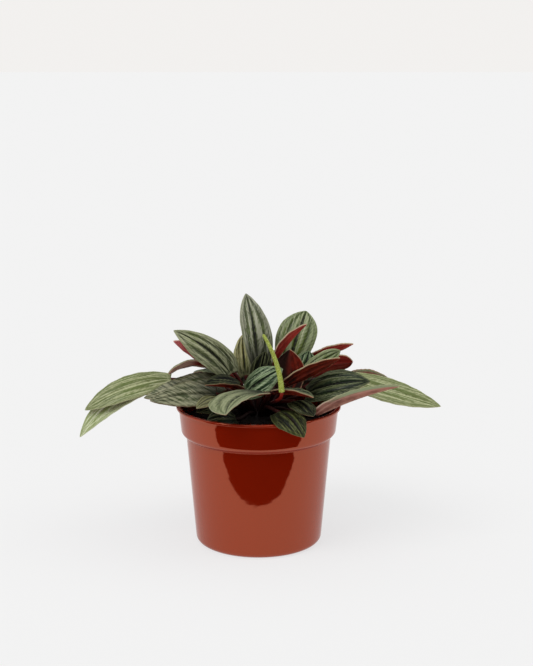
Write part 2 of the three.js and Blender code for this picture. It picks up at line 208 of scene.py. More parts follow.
def wall_radius_at(z):
    """The pot's outside radius at a height under the collar."""
    return WALL_FOOT_RADIUS + (WALL_TOP_RADIUS - WALL_FOOT_RADIUS) * z / COLLAR_FOOT_Z


def unit(v):
    """Vectors made one long."""
    return v / np.linalg.norm(v, axis=-1, keepdims=True)


def rounded(corners):
    """A line through (radius, height, rounding) corners, with an arc of that rounding at each."""
    line = []
    for i, (r, z, rounding) in enumerate(corners):
        here = np.array([r, z], float)
        if rounding == 0:
            line.append(here)
            continue
        before = unit(np.array(corners[i - 1][:2]) - here)
        after = unit(np.array(corners[i + 1][:2]) - here)
        half_turn = math.acos(np.clip(before @ after, -1, 1)) / 2
        set_back = rounding / math.tan(half_turn)
        centre = here + unit(before + after) * rounding / math.sin(half_turn)
        start = here + before * set_back - centre
        end = here + after * set_back - centre
        sweep = math.pi - 2 * half_turn
        for k in range(ARC_STEPS + 1):
            share = k / ARC_STEPS
            blend = start * math.sin((1 - share) * sweep) + end * math.sin(share * sweep)
            line.append(centre + blend / math.sin(sweep))
    return line


def spaced(line, step):
    """The line with points added, so that none is further than a step from the next."""
    dense = [line[0]]
    for a, b in zip(line, line[1:]):
        pieces = max(1, math.ceil(np.linalg.norm(b - a) / step))
        dense.extend(a + (b - a) * k / pieces for k in range(1, pieces + 1))
    return dense


def turned(line, sides):
    """Points and faces of a line of (radius, height) turned about +Z. Its ends are on the axis."""
    points = [(0, 0, line[0][1]), (0, 0, line[-1][1])]
    for radius, z in line[1:-1]:
        for k in range(sides):
            angle = 2 * math.pi * k / sides
            points.append((radius * math.cos(angle), radius * math.sin(angle), z))
    rings = len(line) - 2
    faces = []
    for k in range(sides):
        after = (k + 1) % sides
        faces.append((0, 2 + after, 2 + k))
        for ring in range(rings - 1):
            low, high = 2 + ring * sides, 2 + (ring + 1) * sides
            faces.append((low + k, low + after, high + after, high + k))
        top = 2 + (rings - 1) * sides
        faces.append((top + k, top + after, 1))
    return points, faces


def pot_line():
    """The pot's section: under the foot from the middle, up the outside, over the lip and down inside."""
    outside = [
        (0, 0, 0),
        (CHANNEL_INNER, 0, CHANNEL_ROUNDING),
        (CHANNEL_INNER, CHANNEL_RISE, CHANNEL_ROUNDING),
        (CHANNEL_OUTER, CHANNEL_RISE, CHANNEL_ROUNDING),
        (CHANNEL_OUTER, 0, CHANNEL_ROUNDING),
        (WALL_FOOT_RADIUS, 0, FOOT_ROUNDING),
        (wall_radius_at(STEP_Z), STEP_Z, 0.5),
        (COLLAR_FOOT_RADIUS - 0.2, COLLAR_FOOT_Z - 1, COLLAR_ROUNDING),
        (COLLAR_TOP_RADIUS, POT_HEIGHT - LIP_HEIGHT - LIP_UNDERCUT, 0.3),
        (LIP_RADIUS, POT_HEIGHT - LIP_HEIGHT, 0.4),
        (LIP_RADIUS, POT_HEIGHT, LIP_ROUNDING),
    ]
    inside = [
        (COLLAR_TOP_RADIUS - WALL, POT_HEIGHT, LIP_ROUNDING),
        (COLLAR_FOOT_RADIUS - WALL, COLLAR_FOOT_Z, INNER_ROUNDING),
        (wall_radius_at(STEP_Z) - WALL, INNER_STEP_Z, INNER_ROUNDING),
        (wall_radius_at(FLOOR_TOP) - WALL, FLOOR_TOP, 3),
        (0, FLOOR_TOP, 0),
    ]
    return spaced(rounded(outside + inside), SECTION_STEP)


def applied(thing):
    """Turns an object's modifiers into its mesh."""
    ready = thing.evaluated_get(bpy.context.evaluated_depsgraph_get())
    mesh = bpy.data.meshes.new_from_object(ready)
    thing.modifiers.clear()
    thing.data = mesh


# Polypropylene, moulded against polished steel: the pigment shows pure where it mirrors something dark,
# and washed pink where it mirrors something pale. The wall is slightly uneven, so mirrored edges waver.
POT_RED = "#7c1703"
GLOSS_TINT = "#ff9e78"
UNEVENNESS = 0.13
UNEVENNESS_PITCH = 14

plastic, tree = new_material("moulded red polypropylene")
place = add(tree, "TexCoord")
uneven = add(tree, "TexNoise", {"Vector": place.outputs["Object"],
                                          "Scale": 1 / (UNEVENNESS_PITCH * MM), "Detail": 2.0})
relief = add(tree, "Bump", {"Height": uneven, "Strength": 1.0,
                                      "Distance": UNEVENNESS * MM})
finish_material(tree, {
    "Base Color": linear(POT_RED),
    "Roughness": 0.06,
    "IOR": 1.88,
    "Specular IOR Level": 1.0,
    "Specular Tint": linear(GLOSS_TINT),
    "Normal": relief,
})

pot = new_object("nursery_pot", *turned(pot_line(), POT_SIDES), plastic)
drills = []
for hole in range(DRAIN_HOLES):
    angle = 2 * math.pi * hole / DRAIN_HOLES
    radius = (CHANNEL_INNER + CHANNEL_OUTER) / 2
    low, high = DRILL_ENDS
    line = [np.array(p) for p in ((0, low), (DRAIN_RADIUS, low), (DRAIN_RADIUS, high), (0, high))]
    points, faces = turned(line, DRILL_SIDES)
    centre = [radius * math.cos(angle), radius * math.sin(angle), 0]
    drill = new_object(f"drill_{hole}", np.array(points) + centre, faces)
    cut = pot.modifiers.new("drain_hole", "BOOLEAN")
    cut.object = drill
    cut.operation = "DIFFERENCE"
    cut.solver = "EXACT"
    drills.append(drill)
applied(pot)
for drill in drills:
    bpy.data.objects.remove(drill)
pot.data.shade_smooth()
pot.data.set_sharp_from_angle(angle=math.radians(SHARP_OVER))
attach(pot, "root")
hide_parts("pot")

# Potting soil: dark peat with bark crumbs, filled to a little under the lip and slightly mounded round
# the crown. The crumbs are lumps of different sizes pressed into the top.
GAP = 0.3
SOIL_TOP = 90.5
SOIL_MOUND = 1.5
SOIL_RELIEF = 0.8
SOIL_SIDES = 144
SOIL_RINGS = 44
GRAIN = 0.7
GRAIN_PITCH = 3.2
CROWN_RADIUS = 12
FOOT_SLOPE = 3
CRUMBS = 420
CRUMB_RADII = (0.7, 2.0)
CRUMB_WIDTHS = (0.8, 1.3)
CRUMB_HEIGHTS = (0.6, 0.9)
CRUMB_LUMPS = 0.55
CRUMB_LUMP_SCALE = 1.3
CRUMB_CLEARANCE = 3
CRUMB_REACH = 51.5


def soil_height(x, y):
    """The height of the soil's top: the mound, the waves of the solid model and fine grain."""
    share = math.hypot(x, y) / (COLLAR_FOOT_RADIUS - WALL - GAP)
    waves = math.sin(0.41 * x + 1.3) * math.cos(0.37 * y) + 0.6 * math.sin(0.83 * y + 0.29 * x)
    grain = GRAIN * noise.noise(Vector((x, y, 0)) / GRAIN_PITCH) * min(1, 6 * (1 - share))
    return SOIL_TOP + SOIL_MOUND * (1 - share ** 2) + SOIL_RELIEF * waves + grain


def soil_solid():
    """The soil as one closed body, which follows the inside of the pot."""
    outer = COLLAR_FOOT_RADIUS - WALL - GAP
    step = wall_radius_at(STEP_Z) - WALL - GAP
    foot = wall_radius_at(FLOOR_TOP + FOOT_SLOPE) - WALL - GAP
    line = [(0, FLOOR_TOP + GAP), (foot - FOOT_SLOPE, FLOOR_TOP + GAP), (foot, FLOOR_TOP + FOOT_SLOPE),
            (step, INNER_STEP_Z), (outer, COLLAR_FOOT_Z)]
    line += [(outer * (1 - ring / SOIL_RINGS), SOIL_TOP) for ring in range(SOIL_RINGS + 1)]
    points, faces = turned([np.array(p) for p in line], SOIL_SIDES)
    raised = [(x, y, soil_height(x, y) if z == SOIL_TOP else z) for x, y, z in points]
    return raised, faces


def crumb(rng, x, y, size):
    """One crumb: a lump with flat and hollow sides, sunk to its middle."""
    shift = Vector((rng.uniform(0, 50), rng.uniform(0, 50), 0))
    swell = [1 + CRUMB_LUMPS * noise.noise(Vector(p) * CRUMB_LUMP_SCALE + shift) for p in BALL_POINTS]
    stretch = np.array([rng.uniform(*reach) for reach in (CRUMB_WIDTHS, CRUMB_WIDTHS, CRUMB_HEIGHTS)])
    return BALL_POINTS * np.array(swell)[:, None] * stretch * size + [x, y, soil_height(x, y)]


def ball():
    """Points and faces of a ball of radius 1."""
    made = bmesh.new()
    bmesh.ops.create_icosphere(made, subdivisions=2, radius=1)
    points = np.array([v.co[:] for v in made.verts])
    faces = [tuple(v.index for v in f.verts) for f in made.faces]
    made.free()
    return points, faces


def joined(parts):
    """Several (points, faces) as one."""
    points, faces, start = [], [], 0
    for some_points, some_faces in parts:
        points.append(np.asarray(some_points))
        faces.extend(tuple(start + i for i in face) for face in some_faces)
        start += len(some_points)
    return np.concatenate(points), faces


BALL_POINTS, BALL_FACES = ball()
rng = random.Random(11)
soil_parts = [soil_solid()]
for _ in range(CRUMBS):
    size = rng.uniform(*CRUMB_RADII) * rng.uniform(0.6, 1)
    radius = math.sqrt(rng.uniform((CROWN_RADIUS + CRUMB_CLEARANCE) ** 2, CRUMB_REACH ** 2))
    angle = rng.uniform(0, 2 * math.pi)
    soil_parts.append((crumb(rng, radius * math.cos(angle), radius * math.sin(angle), size), BALL_FACES))

# Moist peat: matt and nearly black, browner on the dry tops of the crumbs.
PEAT_WET = "#0a0605"
PEAT_DRY = "#231812"
FIBRE_SIZE = 1.6
FIBRE_RELIEF = 0.5

peat, tree = new_material("moist peat")
place = add(tree, "TexCoord")
fibres = add(tree, "TexNoise", {"Vector": place.outputs["Object"], "Scale": 1 / (FIBRE_SIZE * MM),
                                          "Detail": 6.0, "Roughness": 0.7})
dryness = add(tree, "MapRange", {"Value": fibres, "From Min": 0.42,
                                           "From Max": 0.7})
colour = add(tree, "Mix", {0: dryness, 6: linear(PEAT_WET), 7: linear(PEAT_DRY)},
             data_type="RGBA")
relief = add(tree, "Bump", {"Height": fibres, "Strength": 0.9,
                                      "Distance": FIBRE_RELIEF * MM})
finish_material(tree, {
    "Base Color": colour.outputs[2],
    "Roughness": 0.95,
    "Specular IOR Level": 0.2,
    "Normal": relief,
})

soil = new_object("peat_soil", *joined(soil_parts), peat)
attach(soil, "root")
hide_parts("soil")

# Leaves, as they grew: where each blade starts and ends, its full width, the way that its upper side
# faces, its arch, its fold, and the skins of its two sides. A blade with a grain has its silver in strokes
# that all lean that many degrees. The other sections read the same rows.
WIDEST = 0.42
TAPER = 1.8
BASE_WIDTH = 0.5
LOPSIDED_OVER = 0.3
STALK_LEAN = 0.35
BACK_TILT = 58
BACK_ARCH = 0.13
BACK_FOLD = 8


def leaf(name, base, tip, width, face, arch, fold, skin, back, bend=0, widest=WIDEST, taper=TAPER,
         lean=STALK_LEAN, lop=0, shift=0, grain=None):
    """One leaf, as its row says, with its own frame: along its chord, out of its upper side and across. It
    may bend sideways, have one half wider than the other and its widest place shifted, and its stalk may
    lean out more."""
    base, tip = np.array(base, float), np.array(tip, float)
    length = np.linalg.norm(tip - base)
    along = (tip - base) / length
    turn, up = math.radians(face[0]), math.radians(face[1])
    facing = np.array([math.cos(up) * math.cos(turn), math.cos(up) * math.sin(turn), math.sin(up)])
    normal = facing - along * (facing @ along)
    normal /= np.linalg.norm(normal)
    return {"name": name, "base": base, "length": length, "along": along, "normal": normal,
            "across": np.cross(along, normal), "width": width, "arch": arch, "fold": math.radians(fold),
            "skin": skin, "back": back, "bend": bend, "widest": widest, "taper": taper, "lean": lean,
            "lop": lop, "shift": shift, "grain": grain}


def back_leaf(name, turn, start, end, width, skin):
    """A leaf of the far side, from its degrees round and the (radius, height) of its two ends."""
    way = math.radians(turn)
    base = (start[0] * math.cos(way), start[0] * math.sin(way), start[1])
    tip = (end[0] * math.cos(way), end[0] * math.sin(way), end[1])
    return leaf(name, base, tip, width, (turn, BACK_TILT), BACK_ARCH, BACK_FOLD, skin, "wine")


LEAVES = [
    leaf("top", (-0.5, 10, 128), (-9.5, 34, 178), 22.7, (-80, 20), 0.06, 12, "painted_base_shade", "wine",
         widest=0.45, taper=1.9, lop=0.17, shift=0.1, bend=0.012),
    leaf("upper_left", (-20, -8, 126), (-61, -6, 158), 22.7, (-105, 40), 0.09, 8, "olive", "wine",
         widest=0.35, taper=1.65, shift=0.15, bend=0.055),
    leaf("upper_right", (23, 30, 126), (36, 46, 162.5), 30, (-95, 25), 0.06, 8, "fresh", "wine",
         widest=0.48, taper=2.5, lop=-0.06, shift=-0.04),
    leaf("inner_left", (-9, 18, 119), (-11.5, 34, 147), 17, (-110, 15), 0.05, 26, "moss", "wine"),
    leaf("red_sail", (13, 8, 134), (35, 8, 160), 21, (155, 30), 0.04, 22, "olive", "scarlet"),
    leaf("red_centre", (22, -8, 114), (22.5, -6, 144), 26, (105, 20), 0.04, 12, "olive", "maroon"),
    leaf("behind_sail", (32, 6, 122), (37, 12, 139), 20, (-80, 25), 0.06, 10, "fern", "wine"),
    leaf("small_centre", (0, -2, 117), (5, 2, 141), 17, (-90, 20), 0.05, 12, "deep", "wine"),
    leaf("red_channel", (19, -18, 121), (58, -18, 140.5), 19, (100, 50), 0, 14, "olive", "wine"),
    leaf("behind_channel", (35, 1, 127.5), (59.5, 2, 141.5), 12, (-90, 25), 0.04, 6, "fresh", "wine",
         taper=3),
    leaf("red_far", (34, 22, 126), (70, 18, 143), 17, (105, 48), 0.02, 20, "olive", "scarlet"),
    leaf("red_round", (35, 16, 120), (70, 20, 129), 21, (100, 40), 0.08, 8, "olive", "scarlet", taper=5),
    leaf("right_broad", (35, -9, 112), (79, -27, 125), 27, (-100, 52), 0.09, 8, "slate", "wine"),
    leaf("right_long", (66, -2, 121), (131, -16, 104), 22, (-88, 50), 0, 10, "pale", "wine", lean=0.6),
    leaf("right_keel", (40, -37, 103.5), (97, -52, 128), 23, (90, 79), 0.03, 36, "olive", "rose"),
    leaf("right_edge", (61, 14, 116), (97, 9, 117), 19, (90, 60), 0.14, 12, "flushed", "rose"),
    leaf("front_right", (12, -31, 118), (38, -53, 120.3), 16, (90, 78), 0.03, 30, "slate", "wine"),
    leaf("rim_outer", (14, -46, 108), (31, -69, 96), 22.5, (-70, 45), 0.14, -6, "lime", "wine"),
    leaf("rim_inner", (24.5, -36, 113), (38, -54, 107), 17.4, (-60, 45), 0.12, -4, "deep", "wine",
         taper=2.5),
    leaf("centre", (-8, -21, 116.3), (17.3, -26, 134.2), 21, (-100, 38), 0.08, 4, "fern", "wine"),
    leaf("front_left", (4, -43, 120.5), (-22, -78, 114.5), 27, (-140, 66), 0.07, 12, "milky", "wine",
         widest=0.55, lop=0.25, shift=-0.1, bend=0.16),
    leaf("front_curl", (-26, -34, 114.5), (-43, -53, 112.5), 15, (-110, 62), 0.13, -6, "khaki", "wine"),
    leaf("left_channel", (-14, -18, 118.5), (-38, -30, 123.5), 21, (-90, 76), 0.03, 38, "deep", "wine"),
    leaf("left_silver", (-26, -8, 119.5), (-83, -8, 108.5), 23, (-100, 42), 0.06, 4, "silver", "wine",
         widest=0.32, taper=1.6, grain=38),
    leaf("left_low", (-30, -19, 114), (-76.5, -34, 113), 20, (-95, 42), 0.08, 4, "silver", "wine", grain=38),
    leaf("left_long", (-64, 12, 117.5), (-126, -6, 99), 22, (-85, 52), 0.125, 6, "pale", "wine",
         taper=2.2, lean=1),
    leaf("left_droop", (-77, 14, 113), (-130, -7, 79), 18, (-95, 45), 0.15, 8, "bright", "wine",
         taper=2.1, bend=0.045, lean=1),
    leaf("left_hook", (-25, 0, 124), (-65, -8, 126.5), 18, (80, 60), 0.2, 8, "olive", "dusty", widest=0.68,
         taper=5),
    leaf("left_red", (-20, 8, 125), (-62, 5, 148), 20, (100, 40), 0.03, 14, "olive", "pink"),
    leaf("low_left", (-16, -32, 99), (-36, -41.5, 101), 19, (-90, 55), 0.14, 0, "slate", "wine"),
    leaf("low_side", (-28, -17, 104), (-44, -27, 103), 15, (-100, 60), 0.1, 4, "deep", "wine"),
    back_leaf("back_low_1", 17, (47, 109), (104, 97), 26, "olive"),
    back_leaf("back_low_2", 41, (44, 107), (101, 95), 27, "silver"),
    back_leaf("back_low_3", 65, (43, 110), (97, 98), 26, "olive"),
    back_leaf("back_low_4", 89, (38, 106), (99, 97), 27, "olive"),
    back_leaf("back_low_5", 113, (36, 108.6), (93, 97.4), 25.4, "silver"),
    back_leaf("back_low_6", 137, (43, 105), (97, 92), 25, "olive"),
    back_leaf("back_low_7", 161, (44, 104), (86, 98), 20, "slate"),
    back_leaf("back_high_1", 40, (46, 117), (88, 112), 23, "olive"),
    back_leaf("back_high_2", 62, (38, 119), (82, 117), 24, "pale"),
    back_leaf("back_high_3", 86, (37, 121), (83, 121), 25, "olive"),
    back_leaf("back_high_4", 109, (37, 119), (80, 117), 22, "silver"),
    back_leaf("back_high_5", 130, (38, 117), (78, 107), 22, "slate"),
    back_leaf("back_high_6", 147, (40, 112.5), (80, 104), 20, "olive"),
]

# Leaf blades: thick and fleshy, with sunken veins that run from the stalk to the tip, swollen ridges
# between them that are puckered like a row of pebbles, a rolled margin, and a keel under the midrib.
BLADE = 1.0
TIP_ROUNDING = 0.84
LOBE = 0.22
LOBE_REACH = 0.3
ROLL = 0.12
RIDGE = 0.026
RIDGE_START = 0.2
RIDGE_FADE = 0.35
VEIN_SHARPNESS = 3
SIDE_VEIN_DEPTH = 0.55
PUCKER = 0.02
PUCKER_PITCH = 3.2
PUCKER_SLANT = 5.0
PUCKER_WANDER = 1.4
SLANT = math.radians(32)
GRAIN_DRAW = 0.5
VEIN_GATHER = 0.45
VEIN_GATHER_REACH = 0.22
VEIN_WANDER = 0.035
MARGIN_WAVE = 0.25
MARGIN_WAVE_PITCH = 11
MARGIN_WAVE_OVER = 6
EDGE_ROUNDING = 0.7
UNDER_RELIEF = 0.4
KEEL = 0.9
KEEL_TAPER = 0.75
KEEL_WIDTH = 1.1
KEEL_START = 1.5
ROWS = 56
COLUMNS = 44
TIP_CROWDING = 0.45
EDGE_CROWDING = 1.25
PATTERN_SHIFT = 97.0


def half_width(leaf, s, t):
    """How wide one half of the blade is at shares s of its length. The two halves may differ a little."""
    side = np.clip(t / LOPSIDED_OVER, -1, 1)
    widest = leaf["widest"] - leaf["shift"] * side
    u = np.where(s < widest, (widest - s) / widest, (s - widest) / (1 - widest))
    near = np.sqrt(1 - (1 - BASE_WIDTH ** 2) * np.minimum(u, 1) ** 2)
    far = (1 - np.minimum(u, 1) ** leaf["taper"]) ** TIP_ROUNDING
    return leaf["width"] / 2 * (1 + leaf["lop"] * side) * np.where(s < widest, near, far)


def vein_place(leaf, s, t):
    """Where a point lies among the veins: they spread out from the stalk, and then wander a little."""
    gather = VEIN_GATHER + (1 - VEIN_GATHER) * np.minimum(1, s / VEIN_GATHER_REACH)
    wander = VEIN_WANDER * np.sin(6 * s + leaf["length"] + 2 * np.sign(t))
    return np.sign(t) * (np.abs(t) ** gather + wander * 4 * np.abs(t) * (1 - np.abs(t)))


def blade_surface(leaf, s, t, relief=1.0):
    """The blade's middle surface, the way out of its upper side, and its direction, at shares s and t."""
    along, normal, across, length = leaf["along"], leaf["normal"], leaf["across"], leaf["length"]
    s, t = s[..., None], t[..., None]
    bow = 4 * s * (1 - s) * length
    slope = 4 * (1 - 2 * s)
    tangent = unit(along + normal * leaf["arch"] * slope + across * leaf["bend"] * slope)
    side = unit(across - tangent * (tangent @ across)[..., None])
    up = np.cross(side, tangent)
    half = half_width(leaf, s, t)
    swept = LOBE * leaf["width"] / 2 * t ** 2 * np.maximum(0, 1 - s / LOBE_REACH) ** 2
    lifted = half * (np.abs(t) * math.sin(leaf["fold"]) - ROLL * t ** 2)
    lifted = lifted + swell(leaf, s, t, relief)
    points = leaf["base"] + along * s * length + normal * leaf["arch"] * bow + across * leaf["bend"] * bow
    points = points - tangent * swept + side * half * t * math.cos(leaf["fold"]) + up * lifted
    return points, up, tangent


def pucker(leaf, s, t):
    """The pebbled rows, from -1 to 1: slanting ribs that run outwards and towards the tip."""
    place = np.abs(vein_place(leaf, s, t))
    phase = s * leaf["length"] / PUCKER_PITCH - place * PUCKER_SLANT
    wander = PUCKER_WANDER * np.sin(5 * s * leaf["length"] / leaf["width"] + 9 * t)
    return np.sin(2 * math.pi * phase + wander)


def swell(leaf, s, t, relief):
    """How far the surface swells: sunken at the veins and puckered between them, and wavy at the margin."""
    half = half_width(leaf, s, t)
    grown = np.minimum(1, s / RIDGE_START)
    fade = 1 - RIDGE_FADE * np.abs(t)
    place = vein_place(leaf, s, t)
    sunken = (0.5 + 0.5 * np.cos(4 * math.pi * place)) ** VEIN_SHARPNESS
    sunken = sunken * np.where(np.abs(place) < 0.25, 1, SIDE_VEIN_DEPTH)
    ridges = 2 * RIDGE * half * grown * fade * (1 - 2 * sunken)
    pebbles = PUCKER * half * grown * (1 - sunken) * pucker(leaf, s, t)
    wave = np.sin(2 * math.pi * s * leaf["length"] / MARGIN_WAVE_PITCH + 2 * t)
    wave = MARGIN_WAVE * np.abs(t) ** 4 * grown * np.minimum(1, half / MARGIN_WAVE_OVER) * wave
    return relief * (ridges + pebbles) + wave


def blade(number, leaf):
    """Points, faces, face materials and three attributes of one closed blade. They say where a point lies:
    among the veins, in millimetres on the blade, and in millimetres along and across the strokes."""
    u = np.linspace(0, 1, ROWS + 1)
    stations = ((1 - TIP_CROWDING) * u + TIP_CROWDING * (1 - np.cos(math.pi * u)) / 2)[:-1]
    v = np.linspace(-1, 1, COLUMNS + 1)
    shares = np.sign(v) * (1 - (1 - np.abs(v)) ** EDGE_CROWDING)
    s, t = np.meshgrid(stations, shares, indexing="ij")
    points, up, _ = blade_surface(leaf, s, t)
    under = blade_surface(leaf, s, t, UNDER_RELIEF)[0]
    half = half_width(leaf, s, t)
    from_edge = np.minimum((1 - np.abs(t)) * half, s * leaf["length"])
    thick = BLADE / 2 * np.sqrt(1 - (1 - np.minimum(1, from_edge / EDGE_ROUNDING)) ** 2)
    keel = KEEL * (1 - KEEL_TAPER * s) * np.exp(-(t * half / KEEL_WIDTH) ** 2)
    keel = keel * np.minimum(1, from_edge / KEEL_START)
    tip = blade_surface(leaf, np.array([1.0]), np.array([0.0]))[0]
    upper = points + up * thick[..., None]
    lower = under - up * (thick + keel)[..., None]
    columns = COLUMNS + 1
    at_upper = np.arange(ROWS * columns).reshape(ROWS, columns)
    inner = np.zeros((ROWS, columns), bool)
    inner[1:, 1:-1] = True
    at_lower = at_upper.copy()
    at_lower[inner] = ROWS * columns + np.arange(inner.sum())
    tip_at = ROWS * columns + int(inner.sum())
    everything = np.concatenate([upper.reshape(-1, 3), lower[inner], tip])
    faces, sides = [], []
    for side, at in ((0, at_upper), (1, at_lower)):
        a, b = at[:-1, :-1].ravel(), at[:-1, 1:].ravel()
        c, d = at[1:, 1:].ravel(), at[1:, :-1].ravel()
        quads = np.stack([a, b, c, d] if side == 0 else [a, d, c, b], 1).tolist()
        ends = [(p, q, tip_at) if side == 0 else (p, tip_at, q) for p, q in zip(at[-1, :-1], at[-1, 1:])]
        faces += quads + [tuple(int(i) for i in end) for end in ends]
        sides += [side] * (len(quads) + len(ends))
    shift = PATTERN_SHIFT * number
    vein = np.stack([s, vein_place(leaf, s, t), pucker(leaf, s, t)], -1)
    place = np.stack([s * leaf["length"] + shift, t * half, from_edge], -1)
    on, out, angle = s * leaf["length"], np.abs(t) * half, SLANT
    draw = GRAIN_DRAW if leaf["grain"] else 1
    if leaf["grain"]:
        out, angle = t * half, math.radians(leaf["grain"])
    slant = np.stack([(on * math.cos(angle) + out * math.sin(angle)) * draw + shift,
                      out * math.cos(angle) - on * math.sin(angle), 0 * s], -1)
    tips = ([1.0, 0.0, 0.0], [leaf["length"] + shift, 0.0, 0.0],
            [leaf["length"] * math.cos(angle) * draw + shift, -leaf["length"] * math.sin(angle), 0.0])
    fields = {name: np.concatenate([values.reshape(-1, 3), values[inner], np.array([tip_values])])
              for name, values, tip_values in zip(("vein", "place", "slant"), (vein, place, slant), tips)}
    return everything, faces, sides, fields


# Skin of the upper side: waxy green over a silvery layer of air, which shows in fine lines along the blade
# and in slanting strokes on the puckers. The veins lie in dark green furrows, made darker still with painted
# shade, or in pale ones on the palest leaves. Beside the pale margin run a silvery strip and a thin dark
# line. Next to the stalk each blade is darkened with painted shade.
LINE_PITCH = 1.0
LINE_LENGTH = 26
STROKE_PITCH = 1.35
STROKE_LENGTH = 6
PATCH_SIZE = 7
TINT_SIZE = 16
SIDE_FURROWS = 0.6
STRIP_WIDTH = 1.2
STRIP_FADE = 0.8
DARK_LINE = 2.7
# The colour of the painted shade that darkens each blade next to its stalk.
PAINTED_SHADE_AT_STALK = "#0e1108"
SKIN_RELIEF = 0.2


def on_blade(tree):
    """Where a point lies: among the veins, on the blade (whole and in parts), and on the veins' wave."""
    vein = add(tree, "Attribute", attribute_name="vein")
    veins = add(tree, "SeparateXYZ", {0: vein.outputs["Vector"]})
    place = add(tree, "Attribute", attribute_name="place")
    places = add(tree, "SeparateXYZ", {0: place.outputs["Vector"]})
    phase = add(tree, "Math", {0: veins.outputs["Y"], 1: 4 * math.pi}, operation="MULTIPLY")
    wave = add(tree, "Math", {0: phase}, operation="COSINE")
    return veins, place, places, wave


